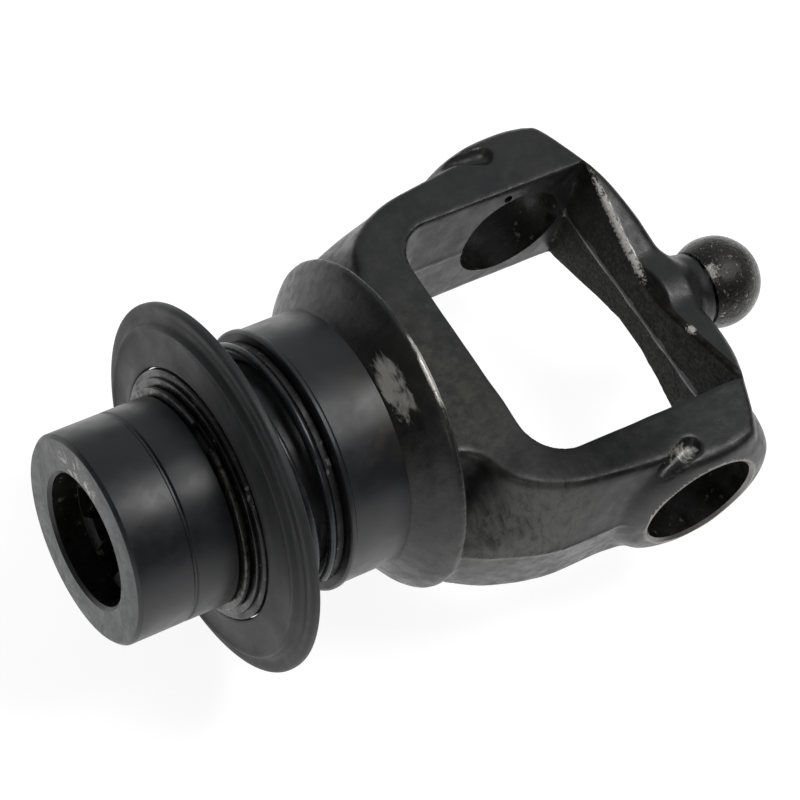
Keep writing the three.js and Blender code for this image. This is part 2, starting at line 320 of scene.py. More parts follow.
# Half outline of the flat top face, where the gusset between hub and arm leaves it.
TOP_EDGE = [(200, -6), (76, -6), (76, 25)] + smooth_path([
    (84, 26), (90, 27.4), (93.6, 30.4), (95.2, 34.6), (97.4, 38.6), (101.6, 42.4), (108, 45.9),
    (116, 48.3), (126, 50.3), (134, 53),
]) + [(140, 62), (200, 62)]


def window_edge():
    """Half outline of the window, with round corners towards the hub."""
    r = WINDOW_CORNER
    arc = [(WINDOW_START + r - r * math.cos(t), WINDOW_HALF - r + r * math.sin(t))
           for t in np.linspace(0, math.pi / 2, 10)]
    return [(WINDOW_START, -6)] + arc + [(WINDOW_END, WINDOW_HALF), (WINDOW_END, -6)]


# Half section of the forged bulge and of the hub's end inside the frame.
HUB_SWELL = [(58, -6), (58, 33.2), (72.4, 33.2)] + smooth_path([
    (73.2, 34.5), (74.4, 35.7), (76.4, 38.2), (78.4, 40.9), (80.4, 43.2), (82, 44.5),
]) + [(83.1, 44.4), (84, 42.9), (86.4, 35), (88.6, 27), (90.6, 20), (91, 10), (91, -6)]

# Half section of an ear's boss, by distance from the shaft's axis.
EAR_PROFILE = [(30, -1), (30, 24.2), (46, 24.4), (49.5, 24)] + smooth_path([
    (52, 23.2), (53.5, 22.2), (54.8, 20.6), (55.8, 18.6), (EAR_FACE, 16.3),
], 3) + [(EAR_FACE, -1)]

# Half section of the neck that carries the ball.
NECK_PROFILE = [(160, -1), (160, 13), (178, 13), (182.5, 11), (BALL_FLAT - 0.3, 10.4),
                (BALL_FLAT - 0.3, -1)]


def ripple(x, y, z):
    """Low waves left by the forging dies and the hammer scale."""
    waves = [((0.31, 0.17, 0.23), 0.4), ((-0.22, 0.41, 0.13), 1.7), ((0.12, -0.29, 0.47), 2.9),
             ((0.57, 0.33, -0.38), 0.9), ((-0.49, 0.52, 0.61), 4.1)]
    total = 0
    for (a, b, c), phase in waves:
        total = total + np.sin(a * x + b * y + c * z + phase)
    return total / len(waves)


def frame_sides(xs, ys, zs):
    """Distances to the outside and to the window, level by level above the parting plane.

    The draft leans the sides in, less beside the ears, and rounds them near the hub. The end of
    the frame leans back above the height of the bridge.
    """
    x, y = np.meshgrid(xs, ys, indexing="ij")
    window = window_edge()
    at_end = smoothstep(164, 174, x)
    draft = DRAFT - smoothstep(84, 98, x) - 2.3 * smoothstep(124, 150, x)
    power = 2 - smoothstep(90, 110, x)
    outside, hole = [], []
    for z in zs:
        rise = min(z / HALF_T, 1.1)
        lean = 0.24 * at_end * max(z - 9, 0)
        ridge = PARTING_RIDGE * math.exp(-(z / 0.55) ** 2)
        outside.append(polygon_distance(x + lean, y, FRAME_EDGE) + draft * rise ** power - ridge)
        hole.append(-polygon_distance(x, y, window) - WINDOW_DRAFT * (1 - rise) - ridge)
    return np.stack(outside, axis=2), np.stack(hole, axis=2)


def bridge_top(x, y):
    """How high the frame reaches above the parting plane: full, but lower over the bridge."""
    slope = (HALF_T - BRIDGE_HALF_T) / (BRIDGE_SPREAD - BRIDGE_FLAT)
    relief = BRIDGE_HALF_T + slope * np.clip(y - BRIDGE_FLAT, 0, None)
    return np.where((x > 140) & (y < BRIDGE_SPREAD + 1.2), np.minimum(relief, HALF_T), HALF_T)


def forged_fields():
    """Node coordinates, and distances to a quarter of the frame and to the round stretches."""
    xs, ys, zs = (np.arange(low, high, FORGED_STEP) for low, high in FORGED_QUARTER)
    x, y, z = np.meshgrid(xs, ys, zs, indexing="ij")
    outside, hole = frame_sides(xs, ys, zs)

    ear = polygon_distance(y, np.hypot(x - EAR_STATION, z), EAR_PROFILE)
    ear = np.maximum(ear, WINDOW_HALF - 0.5 - y)
    body = smooth_min(outside, ear, 1.8)
    body = smooth_max(body, z - bridge_top(x, y), 2.6)
    body = smooth_max(body, hole, 1.0)

    radius = np.hypot(y, z)
    neck = polygon_distance(x, radius, NECK_PROFILE)
    neck = np.maximum(neck, WINDOW_END + 2 - x)
    body = smooth_min(body, neck, 3.2)
    hub = polygon_distance(x, radius, HUB_SWELL)
    return xs, ys, zs, body, hub


def mirrored(values, axis):
    """Reflects a quarter field in the plane through its first nodes."""
    flipped = np.flip(values, axis)
    keep = [slice(None)] * values.ndim
    keep[axis] = slice(0, values.shape[axis] - 1)
    return np.concatenate([flipped[tuple(keep)], values], axis)


CORNERS = np.array([(i, j, k) for i in (0, 1) for j in (0, 1) for k in (0, 1)])
CELL_EDGES = [(a, b) for a in range(8) for b in range(a + 1, 8)
              if np.abs(CORNERS[a] - CORNERS[b]).sum() == 1]


def surface_net(field, origin, step):
    """Points and quads of the zero surface: one point in each cell that the surface crosses."""
    inside = field < 0
    cells = tuple(n - 1 for n in field.shape)
    total = np.zeros(cells, np.int8)
    for i, j, k in CORNERS:
        total += inside[i:i + cells[0], j:j + cells[1], k:k + cells[2]]
    active = np.argwhere((total > 0) & (total < 8))
    values = np.stack([field[tuple((active + c).T)] for c in CORNERS], axis=1)
    summed = np.zeros((len(active), 3))
    count = np.zeros(len(active))
    for a, b in CELL_EDGES:
        va, vb = values[:, a], values[:, b]
        hit = (va < 0) != (vb < 0)
        t = np.where(hit, va / np.where(hit, va - vb, 1), 0)
        point = CORNERS[a] + t[:, None] * (CORNERS[b] - CORNERS[a])
        summed += np.where(hit[:, None], point, 0)
        count += hit
    points = (active + summed / count[:, None]) * step + origin

    number = np.full(cells, -1, np.int32)
    number[tuple(active.T)] = np.arange(len(active))
    quads = []
    for axis in range(3):
        u, v = [a for a in range(3) if a != axis]
        head = [slice(1, -1)] * 3
        head[axis] = slice(0, -1)
        tail = [slice(1, -1)] * 3
        tail[axis] = slice(1, None)
        here, there = inside[tuple(head)], inside[tuple(tail)]
        for leaving in (True, False):
            edges = np.argwhere((here & ~there) if leaving else (~here & there))
            edges[:, u] += 1
            edges[:, v] += 1
            loop = [(0, 0), (1, 0), (1, 1), (0, 1)]
            if leaving == (axis == 1):
                loop.reverse()
            corners = []
            for du, dv in loop:
                cell = edges.copy()
                cell[:, u] -= 1 - du
                cell[:, v] -= 1 - dv
                corners.append(number[tuple(cell.T)])
            quads.append(np.stack(corners, axis=1))
    return points, np.concatenate(quads)


def grease_notches(x, y, z, field):
    """Scoops a notch into the upper side of each ear, deeper towards its grease hole."""
    for side in (1, -1):
        along = np.clip((x - NOTCH_START) / NOTCH_RUN, 0, 1)
        near = np.sqrt((x - NOTCH_START - NOTCH_RUN * along) ** 2
                       + (y - side * (52.6 - 2.6 * along)) ** 2 + (z - 18.4 - 3 * along) ** 2)
        field = smooth_max(field, 1.7 + 1.3 * along - near, 0.6)
    return field


def gusset(xs, ys, z):
    """Distance to the gusset that falls from the edge of the top face to the parting plane.

    It is on the upper half only, and fades out before the ear.
    """
    x, y = np.meshgrid(xs, np.abs(ys), indexing="ij")
    edge = polygon_distance(x, y, TOP_EDGE)[:, :, None]
    side = (polygon_distance(x, y, FRAME_EDGE) - 1.5 - 12 * smoothstep(122, 136, x))[:, :, None]
    drop = np.clip(1 - z / HALF_T, 0, 1) ** 1.25
    return np.where(z > 0, edge + (side - edge) * drop, FAR_INSIDE)


def forged_mesh(material):
    """The closed skin of the forging, without any machining."""
    xs, ys, zs, body, hub = forged_fields()
    body, hub = (mirrored(mirrored(field, 1), 2) for field in (body, hub))
    ys = np.concatenate([-ys[:0:-1], ys])
    zs = np.concatenate([-zs[:0:-1], zs])
    x, y, z = np.meshgrid(xs, ys, zs, indexing="ij", sparse=True)
    body = smooth_max(body, gusset(xs, ys, z), 2.2)
    full = smooth_min(body, hub, 1.3)
    full = full + RIPPLE * ripple(x, y, z) * smoothstep(72, 80, x)
    full = grease_notches(x, y, z, full)
    full[0] = np.maximum(full[0], 0.1)
    points, quads = surface_net(full, (xs[0], ys[0], zs[0]), FORGED_STEP)
    return outward(mesh_object("yoke_body", points, quads.tolist(), [material]))


# ---- materials ------------------------------------------------------------------------------

class Paint:
    """Small helper that adds shader nodes to one material."""

    def __init__(self, name, color, metallic, roughness):
        self.material = bpy.data.materials.new(name)
        self.material.use_nodes = True
        self.tree = self.material.node_tree
        self.shader = self.tree.nodes["Principled BSDF"]
        self.shader.inputs["Base Color"].default_value = (*color, 1)
        self.shader.inputs["Metallic"].default_value = metallic
        self.shader.inputs["Roughness"].default_value = roughness
        self.place = self.tree.nodes.new("ShaderNodeTexCoord").outputs["Object"]
        self.height = None

    def link(self, source, target):
        self.tree.links.new(source, target)

    def add(self, kind, **values):
        node = self.tree.nodes.new(kind)
        for key, value in values.items():
            setattr(node, key, value)
        return node

    def feed(self, node, index, value):
        socket = node.inputs[index]
        if hasattr(value, "is_linked"):
            self.link(value, socket)
        else:
            socket.default_value = value

    def math(self, operation, a, b=0.0, c=None):
        node = self.add("ShaderNodeMath", operation=operation)
        self.feed(node, 0, a)
        self.feed(node, 1, b)
        if c is not None:
            self.feed(node, 2, c)
        return node.outputs[0]

    def noise(self, size_mm, detail=4, rough=0.55, stretch=(1, 1, 1), distort=0.0):
        mapping = self.add("ShaderNodeMapping")
        self.link(self.place, mapping.inputs["Vector"])
        mapping.inputs["Scale"].default_value = [s / (size_mm * MM) for s in stretch]
        noise = self.add("ShaderNodeTexNoise")
        self.link(mapping.outputs[0], noise.inputs["Vector"])
        noise.inputs["Scale"].default_value = 1
        noise.inputs["Detail"].default_value = detail
        noise.inputs["Roughness"].default_value = rough
        noise.inputs["Distortion"].default_value = distort
        return noise.outputs["Fac"]

    def ramp(self, value, low, high):
        node = self.add("ShaderNodeMapRange", interpolation_type="SMOOTHSTEP")
        self.link(value, node.inputs["Value"])
        node.inputs["From Min"].default_value = low
        node.inputs["From Max"].default_value = high
        return node.outputs["Result"]

    def blob(self, centre, size, tilt=0):
        """One in the middle of an ellipsoid at a frame point, nought outside it; half sizes in mm."""
        mapping = self.add("ShaderNodeMapping", vector_type="TEXTURE")
        self.link(self.place, mapping.inputs["Vector"])
        mapping.inputs["Location"].default_value = centre
        mapping.inputs["Rotation"].default_value = (math.radians(tilt), 0, 0)
        mapping.inputs["Scale"].default_value = [s * MM for s in size]
        length = self.add("ShaderNodeVectorMath", operation="LENGTH")
        self.link(mapping.outputs[0], length.inputs[0])
        return self.ramp(length.outputs["Value"], 1.2, 0.2)

    def mix_color(self, factor, a, b):
        node = self.add("ShaderNodeMix", data_type="RGBA")
        self.link(factor, node.inputs["Factor"])
        for index, value in ((6, a), (7, b)):
            if isinstance(value, tuple):
                node.inputs[index].default_value = (*value, 1)
            else:
                self.link(value, node.inputs[index])
        return node.outputs[2]

    def mix(self, factor, a, b):
        node = self.add("ShaderNodeMix", data_type="FLOAT")
        self.link(factor, node.inputs["Factor"])
        self.feed(node, 2, a)
        self.feed(node, 3, b)
        return node.outputs[0]

    def color(self, source):
        self.link(source, self.shader.inputs["Base Color"])

    def roughness(self, source):
        self.link(source, self.shader.inputs["Roughness"])

    def metallic(self, source):
        self.link(source, self.shader.inputs["Metallic"])

    def bump(self, source, depth_mm, strength=1.0):
        node = self.add("ShaderNodeBump")
        node.inputs["Distance"].default_value = depth_mm * MM
        node.inputs["Strength"].default_value = strength
        self.link(source, node.inputs["Height"])
        if self.height is not None:
            self.link(self.height, node.inputs["Normal"])
        self.height = node.outputs["Normal"]
        self.link(self.height, self.shader.inputs["Normal"])


def edges(paint, low, high):
    """One on sharp outer edges, from the mesh's own curvature."""
    geometry = paint.add("ShaderNodeNewGeometry")
    return paint.ramp(geometry.outputs["Pointiness"], low, high)


def at(station, y, z):
    """A station, y and z in mm as a frame point."""
    return tuple(to_frame((station, y, z)))


# Linear colours that more than one material uses.
BARE = (0.52, 0.51, 0.475)
BROWN_BLACK = (0.006, 0.005, 0.004)

# Where the paint is rubbed through: place, half sizes and tilt about X in degrees.
RUBBED = [
    ((75.4, -11, 36.6), (4.4, 14, 6.5), 16),
    ((83, -14, 42), (1.9, 15, 3.6), 18),
    ((168.9, 17.5, 14.5), (2.5, 27, 2.3), 18.4),
    ((169, -17, 14.4), (2, 3, 2), -18.4),
    ((142, -50.6, 20), (7, 3.4, 3.6), 0),
    ((141, 50.8, 20.4), (7, 1.8, 2.2), 0),
]


def rubbed(paint, streak):
    """One where the paint is rubbed through, broken up by streaks."""
    rub = None
    for place, size, tilt in RUBBED:
        patch = paint.blob(at(*place), size, tilt)
        rub = patch if rub is None else paint.math("MAXIMUM", rub, patch)
    return paint.ramp(paint.math("MULTIPLY_ADD", rub, 0.5, streak), 0.72, 0.98)


def worn_edges(paint, mottle, low, high):
    """One along sharp edges, where patches of the mottle let the paint wear."""
    return paint.math("MULTIPLY", edges(paint, 0.53, 0.62), paint.ramp(mottle, low, high))


def forged_paint():
    """Thin black paint over the forged skin, rubbed through in places."""
    paint = Paint("forged_black_paint", (0.010, 0.010, 0.011), 0.0, 0.42)
    broad = paint.noise(14, 3)
    mottle = paint.noise(3.2, 5, 0.6)
    fine = paint.noise(0.7, 3)
    streak = paint.noise(1.6, 4, 0.65, stretch=(1, 0.22, 0.5), distort=0.5)

    black, warm_black, dull_black = (0.006, 0.0062, 0.0065), (0.016, 0.0155, 0.0145), (0.022, 0.0215, 0.019)
    base = paint.mix_color(paint.ramp(broad, 0.35, 0.7), black, warm_black)
    base = paint.mix_color(paint.ramp(mottle, 0.5, 0.85), base, dull_black)
    web = paint.math("MULTIPLY", paint.blob(at(97, -8, HALF_T), (11, 30, 3)), paint.ramp(mottle, 0.3, 0.7))
    base = paint.mix_color(web, base, (0.036, 0.037, 0.021))
    # Painted light: a grey lightening over the gusset at the arm's root, broken up by streaks, stands in
    # for the light it catches.
    root = paint.blob(at(98, -46, 7), (25, 12, 22))
    gusset_painted_light = paint.math("MULTIPLY", root, paint.ramp(streak, 0.25, 0.6))
    base = paint.mix_color(gusset_painted_light, base, (0.085, 0.084, 0.081))
    base = paint.mix_color(worn_edges(paint, mottle, 0.4, 0.62), base, (0.16, 0.155, 0.145))
    rub = rubbed(paint, streak)
    paint.color(paint.mix_color(rub, base, BARE))

    matt = paint.blob(at(122, -42, HALF_T), (34, 14, 3))
    paint.link(paint.mix(matt, 0.5, 0.2), paint.shader.inputs["Specular IOR Level"])
    paint.metallic(paint.mix(rub, 0.0, 0.35))
    paint.roughness(paint.mix(paint.ramp(mottle, 0.3, 0.75), 0.3, 0.5))
    paint.bump(broad, 0.6, 0.6)
    paint.bump(mottle, 0.16, 0.6)
    paint.bump(fine, 0.04, 0.5)
    return paint.material


def far_face_shade_paint():
    """Rough, dull, darker paint that stands in for shade on the faces that look into the window at its far
    end, with worn edges and rubbed patches.
    """
    paint = Paint("far_faces_painted_shade", (0.008, 0.007, 0.006), 0.0, 0.7)
    paint.shader.inputs["Specular IOR Level"].default_value = 0.16
    mottle = paint.noise(3.2, 5, 0.6)
    grain = paint.noise(0.9, 4)
    base = paint.mix_color(paint.ramp(mottle, 0.35, 0.75), (0.006, 0.0052, 0.0045), (0.022, 0.020, 0.017))
    base = paint.mix_color(worn_edges(paint, mottle, 0.35, 0.6), base, (0.2, 0.19, 0.175))
    paint.color(paint.mix_color(rubbed(paint, grain), base, BARE))
    paint.roughness(paint.mix(paint.ramp(grain, 0.3, 0.7), 0.55, 0.8))
    paint.bump(mottle, 0.25, 0.7)
    paint.bump(grain, 0.06, 0.6)
    return paint.material


def turned_paint(name, tone, gloss, metallic=0.0, groove=0.5, stained=False):
    """Paint or bare metal over the fine grooves of a lathe tool that turned it about X."""
    paint = Paint(name, tone, metallic, gloss)
    lines = paint.noise(0.16, 3, 0.7, stretch=(1, 0.004, 0.004))
    smear = paint.noise(9, 4, 0.6)
    base = paint.mix_color(paint.ramp(smear, 0.4, 0.75), tone, tuple(1.9 * c for c in tone))
    if stained:
        patch = paint.blob(at(71, -12, 32), (7, 22, 14))
        stain = paint.math("MULTIPLY", patch, paint.ramp(smear, 0.3, 0.6))
        base = paint.mix_color(stain, base, (0.021, 0.018, 0.012))
    paint.color(base)
    paint.roughness(paint.mix(paint.ramp(smear, 0.3, 0.7), gloss - 0.05, gloss + 0.09))
    paint.bump(lines, 0.012, groove)
    return paint.material


def face_paint():
    """The faced end of the nose: thin paint with scratches and chips round the bore's mouth."""
    paint = Paint("faced_nose", (0.03, 0.031, 0.034), 0.25, 0.36)
    smear = paint.noise(7, 4, 0.6)
    scratch = paint.noise(3.4, 6, 0.7, distort=0.8)
    chipped = paint.blob(at(0, 7, 18.5), (3, 12, 7))
    chips = paint.math("MULTIPLY", chipped, paint.ramp(scratch, 0.5, 0.6))
    base = paint.mix_color(paint.ramp(smear, 0.35, 0.7), (0.016, 0.017, 0.019), (0.055, 0.057, 0.062))
    paint.color(paint.mix_color(chips, base, BARE))
    paint.roughness(paint.mix(paint.ramp(scratch, 0.3, 0.7), 0.26, 0.46))
    paint.bump(scratch, 0.05, 0.5)
    return paint.material


def grease_paint(name, tone, gloss, metallic):
    """Dark steel under uneven grease, with a few bright specks painted in as glints."""
    paint = Paint(name, tone, metallic, gloss)
    lumps = paint.noise(2.4, 4, 0.55)
    film = paint.noise(6, 3)
    # Painted highlights: bright specks stand in for glints.
    painted_glints = paint.ramp(paint.noise(2.6, 5, 0.6), 0.6, 0.7)
    base = paint.mix_color(paint.ramp(lumps, 0.45, 0.7), tone, BROWN_BLACK)
    paint.color(paint.mix_color(painted_glints, base, (0.16, 0.152, 0.138)))
    paint.roughness(paint.mix(paint.ramp(film, 0.35, 0.65), gloss - 0.08, gloss + 0.18))
    paint.bump(lumps, 0.2, 0.5)
    return paint.material


def ball_paint(name, tone, used=False):
    """Hard glossy steel with dried oil and painted glints; a used ball is also rubbed at its neck."""
    paint = Paint(name, tone, 0.55, 0.22)
    speck = paint.noise(1.3, 5, 0.7)
    broad = paint.noise(6, 3)
    dirt = paint.ramp(speck, 0.46, 0.6)
    base = paint.mix_color(dirt, tone, (0.010, 0.007, 0.005))
    # Painted highlights: a few bright specks stand in for glints on the steel.
    base = paint.mix_color(paint.ramp(speck, 0.41, 0.34), base, (0.32, 0.31, 0.29))
    if used:
        # Darker on the neck beside the ball, and on a patch on the near side of the ball at its flat.
        base = paint.mix_color(paint.blob(at(184.5, 0, 0), (4, 9, 9)), base, BROWN_BLACK)
        spot = paint.blob(at(BALL_STATION - 7.4, -2.2, 11.5), (5, 4.5, 4.5))
        spot = paint.ramp(paint.math("MULTIPLY_ADD", spot, 0.45, speck), 0.72, 0.9)
        base = paint.mix_color(spot, base, BARE)
        oil = paint.blob(at(BALL_STATION - 9.5, -7.3, 7), (5, 4.5, 5))
        base = paint.mix_color(oil, base, (0.003, 0.0025, 0.002))
    paint.color(base)
    paint.metallic(paint.mix(dirt, 0.6, 0.05))
    paint.roughness(paint.mix(paint.ramp(broad, 0.3, 0.7), 0.08, 0.26))
    paint.bump(broad, 0.6, 0.8)
    paint.bump(speck, 0.3, 0.9)
    return paint.material


FORGED = forged_paint()
FAR_FACE_SHADE = far_face_shade_paint()
TURNED = turned_paint("turned_black", (0.008, 0.0085, 0.0105), 0.36, stained=True)
FACE = face_paint()
BORE = grease_paint("greased_bore", (0.012, 0.011, 0.010), 0.34, 0.3)
MACHINED = turned_paint("machined_rim", (0.16, 0.155, 0.145), 0.34, 0.6, groove=0.3)
SHEET = turned_paint("stamped_black", (0.013, 0.0135, 0.015), 0.54)
SLEEVE = grease_paint("greased_sleeve", (0.012, 0.012, 0.014), 0.3, 0.2)
SPRING = turned_paint("spring_steel", (0.028, 0.029, 0.032), 0.26, 0.55)
# Near-black grease, darkened further as painted shade where the seat sits between the spring and the
# shoulder.
SEAT_GREASE_AND_SHADE = grease_paint("seat_grease_and_painted_shade", (0.004, 0.004, 0.004), 0.5, 0.0)
RINGS = grease_paint("greased_rings", (0.007, 0.0065, 0.006), 0.26, 0.1)
CLIP = grease_paint("greased_clip", (0.07, 0.068, 0.065), 0.24, 0.8)
BALL = ball_paint("ball_steel", (0.026, 0.024, 0.022), used=True)
LOCK_BALL = ball_paint("lock_ball_steel", (0.3, 0.29, 0.27))


# ---- pieces ---------------------------------------------------------------------------------

def settle(obj, body, node):
    """Rides the body and stands in for a CAD node."""
    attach(obj, body)
    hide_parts(node)
    return obj


def hub_solid():
    """The turned outside of the hub, as a tube that ends inside the forged bulge."""
    inner, buried, end = 12, 33, 78
    profile = [
        (0, inner), (0, NOSE_R - 0.9), (0.9, NOSE_R),
        (MARK_GROOVE, NOSE_R), (MARK_GROOVE + 0.3, NOSE_R - 0.5),
        (MARK_GROOVE + 1, NOSE_R - 0.5), (MARK_GROOVE + 1.3, NOSE_R),
        (NOSE_END - 0.5, NOSE_R), (NOSE_END, NOSE_R - 0.5), (NOSE_END, CLIP_GROOVE_R),
        (CLIP_GROOVE_END, CLIP_GROOVE_R), (CLIP_GROOVE_END, NOSE_R), (SHOULDER, NOSE_R),
        (SHOULDER, SHOULDER_R - 0.6), (SHOULDER + 0.5, SHOULDER_R), (SHOULDER + 1.5, SHOULDER_R),
        (SHOULDER + 2.1, TURNED_R), (TURNED_END, TURNED_R), (TURNED_END + 0.2, buried),
        (end, buried), (end, inner),
    ]
    return lathe("hub_solid", profile, [], segments=220, ease=0.15)


def spline_cutter():
    """Six slots round a plain bore, as a prism from before the nose into the window."""
    outline = []
    pitch = 2 * math.pi / SPLINE_COUNT
    for i in range(SPLINE_COUNT):
        middle = (i + 0.5) * pitch
        slot = math.asin(SPLINE_SLOT / 2 / SPLINE_MAJOR_R)
        root = math.asin(SPLINE_SLOT / 2 / SPLINE_MINOR_R)
        arcs = [(SPLINE_MAJOR_R, middle - slot, middle + slot),
                (SPLINE_MINOR_R, middle + root, middle + pitch - root)]
        for radius, start, end in arcs:
            outline += [(radius * math.cos(t), radius * math.sin(t)) for t in np.linspace(start, end, 9)]
    count = len(outline)
    points = [(station, y, z) for station in (2, WINDOW_START + 4) for y, z in outline]
    faces = grid_faces(2, count) + [tuple(range(count)), tuple(reversed(range(count, 2 * count)))]
    return outward(mesh_object("spline_cutter", points, faces, []))


def plug(name, profile, segments=96, across=None):
    """A turned solid with flat ends, used as a cutter."""
    return lathe(name, profile, [], segments, ring=False, across=across, ease=0)


def cutters():
    """Everything that is cut out of the yoke, one closed solid at a time."""
    yield spline_cutter()
    yield plug("mouth", [(-1, MOUTH_R + 1.9), (0.9, MOUTH_R), (MOUTH_DEPTH, MOUTH_R),
                         (MOUTH_DEPTH + 1.6, SPLINE_MINOR_R - 0.3)], 128)
    for side in (1, -1):
        bore = [(WINDOW_HALF - 6, EAR_BORE_R), (EAR_FACE - 0.9, EAR_BORE_R),
                (EAR_FACE + 0.3, EAR_BORE_R + 1.2), (EAR_FACE + 2, EAR_BORE_R + 1.2)]
        yield plug("ear_bore", [(side * y, r) for y, r in bore], 128, across=EAR_STATION)
        hole = [(y, 1.2) for y in (side * (EAR_FACE - 22), side * (EAR_FACE - 3.4))]
        oil = plug("oil_hole", hole, 24, across=OIL_STATION)
        oil.data.transform(Matrix.Translation((0, 0, (HALF_T - 4) * MM)))
        yield oil
    for i in range(LOCK_BALL_COUNT):
        hole = plug("ball_hole", [(SPLINE_MINOR_R - 4, BALL_HOLE_R), (NOSE_R + 3, BALL_HOLE_R)], 48,
                    across=LOCK_BALL_STATION)
        hole.data.transform(Matrix.Rotation(ball_angle(i), 4, "X"))
        yield hole
    yield plug("shank_hole", [(BALL_FLAT - SHANK_DEPTH - 0.3, SHANK_R + 0.3),
                              (BALL_FLAT + 2, SHANK_R + 0.3)], 48)


def paint_by_place(obj, materials, choose):
    """Gives each face the material that its place asks for: choose(x, y, z) returns slot numbers."""
    mesh = obj.data
    mesh.materials.clear()
    for material in materials:
        mesh.materials.append(material)
    centers = np.empty(len(mesh.polygons) * 3)
    mesh.polygons.foreach_get("center", centers)
    x, y, z = (centers.reshape(-1, 3) / MM).T
    mesh.polygons.foreach_set("material_index", choose(x - NOSE_X, y, z).astype(np.int32))


YOKE_FINISHES = [FORGED, TURNED, FACE, BORE, MACHINED, FAR_FACE_SHADE]


def yoke_finish(x, y, z):
    """The place in YOKE_FINISHES of each face of the yoke, forged where nothing else is said."""
    turned_slot, face_slot, bore_slot, machined_slot, far_shade_slot = range(1, len(YOKE_FINISHES))
    radius = np.hypot(y, z)
    around_ear = np.hypot(x - EAR_STATION, z)
    in_ear_bore = around_ear < EAR_BORE_R + 0.15
    slot = np.zeros(len(x))
    slot[(x < TURNED_END + 0.3) & (radius < SHOULDER_R + 0.3)] = turned_slot
    slot[(x < 0.02) & (radius > MOUTH_R + 0.6)] = face_slot
    slot[(x < WINDOW_START) & (x > 0.95) & (radius < MOUTH_R + 0.1)] = bore_slot
    slot[(np.abs(y) > WINDOW_HALF - 2) & in_ear_bore] = bore_slot
    slot[(np.abs(y) > EAR_FACE - 1.2) & ~in_ear_bore & (around_ear < EAR_BORE_R + 1.5)] = machined_slot
    # Painted shade: the faces at the window's far end take the dull, darker paint.
    slot[(np.abs(x - WINDOW_END) < 1.1) & (np.abs(y) < WINDOW_HALF + 0.5)] = far_shade_slot
    return slot


def yoke():
    """The forging, with the turned hub joined on and every bore and hole cut."""
    body = forged_mesh(FORGED)
    boolean(body, hub_solid(), "UNION")
    for tool in cutters():
        boolean(body, tool, "DIFFERENCE")
    paint_by_place(body, YOKE_FINISHES, yoke_finish)
    soften(body)
    return settle(body, "yoke", "yoke_forging")


def centring_ball():
    """The ball, its flat on the neck, its shank and the lathe's centre mark on its far pole."""
    start = math.acos((BALL_STATION - BALL_FLAT) / BALL_R)
    profile = [(BALL_FLAT - SHANK_DEPTH, 0.02), (BALL_FLAT - SHANK_DEPTH, SHANK_R - 0.6),
               (BALL_FLAT - SHANK_DEPTH + 0.6, SHANK_R), (BALL_FLAT, SHANK_R)]
    for angle in np.linspace(start, math.pi - 0.09, 64):
        profile.append((BALL_STATION - BALL_R * math.cos(angle), BALL_R * math.sin(angle)))
    profile += [(BALL_STATION + BALL_R - 0.5, 0.7), (BALL_STATION + BALL_R - 1, 0.02)]
    ball = lathe("centring_ball_turned", profile, [BALL], 128, ring=False, ease=0)
    return settle(ball, "yoke", "centring_ball")


def collar_flange():
    """Stamped flange: a dished face, a ridge, a groove and a rim rolled back."""
    face = [(0.4, 33.5), (0, 33.9), (0.1, 34.8), (0.8, 37), (1.2, 40), (1.1, 42), (0.7, 43.2),
            (0.9, 43.9), (2.4, 44.7), (2.9, 45.8), (2.8, 47.4), (3.0, 48.5), (3.7, 49.05),
            (4.6, 49.1), (5.4, 48.9), (5.8, 48.2)]
    back = [(5.5, 47.4), (5.0, 46.8), (4.6, 45.8), (4.2, 44.6), (3.2, 43.4), (2.9, 41.5), (2.4, 37),
            (1.9, 34.4), (1.8, 33.5)]
    profile = [(COLLAR_FRONT + x, r) for x, r in smooth_path(face, 4) + smooth_path(back, 3)]
    flange = lathe("collar_flange_stamped", profile, [SHEET], 256, ease=0)
    return settle(flange, "collar", "collar_flange")


def collar_sleeve():
    """Stepped sleeve: wide at the front, and a narrow seat for the spring at the back."""
    front, back = span("collar_sleeve")
    step = front + 5.8
    profile = [(front, 30.9), (front, 32.7), (front + 0.5, 33.2), (step - 0.4, 33.2), (step, 32.8),
               (step, 30.4), (back - 0.4, 30.4), (back, 30), (back, 28.35), (back - 0.3, 28.1),
               (back - 1, 28.1), (front + 1, 30.6)]
    sleeve = lathe("collar_sleeve_turned", profile, [SLEEVE], 200, ease=0.15)
    return settle(sleeve, "collar", "collar_sleeve")


def spring_line(t):
    """Centre of the wire: flat at the seat end, open to the sleeve, and flat again there."""
    turns = t * SPRING_TURNS
    low, high = span("collar_spring")
    front, back = low + WIRE_R, high - WIRE_R
    rising = SPRING_TURNS - SPRING_FLAT_AT_SEAT - SPRING_FLAT_AT_SLEEVE
    run = min(max((turns - SPRING_FLAT_AT_SEAT) / rising, 0), 1)
    run = run ** 3 * (run * (run * 6 - 15) + 10)
    angle = SPRING_START + turns * 2 * math.pi
    return Vector((back + (front - back) * run, SPRING_R * math.sin(angle), SPRING_R * math.cos(angle)))


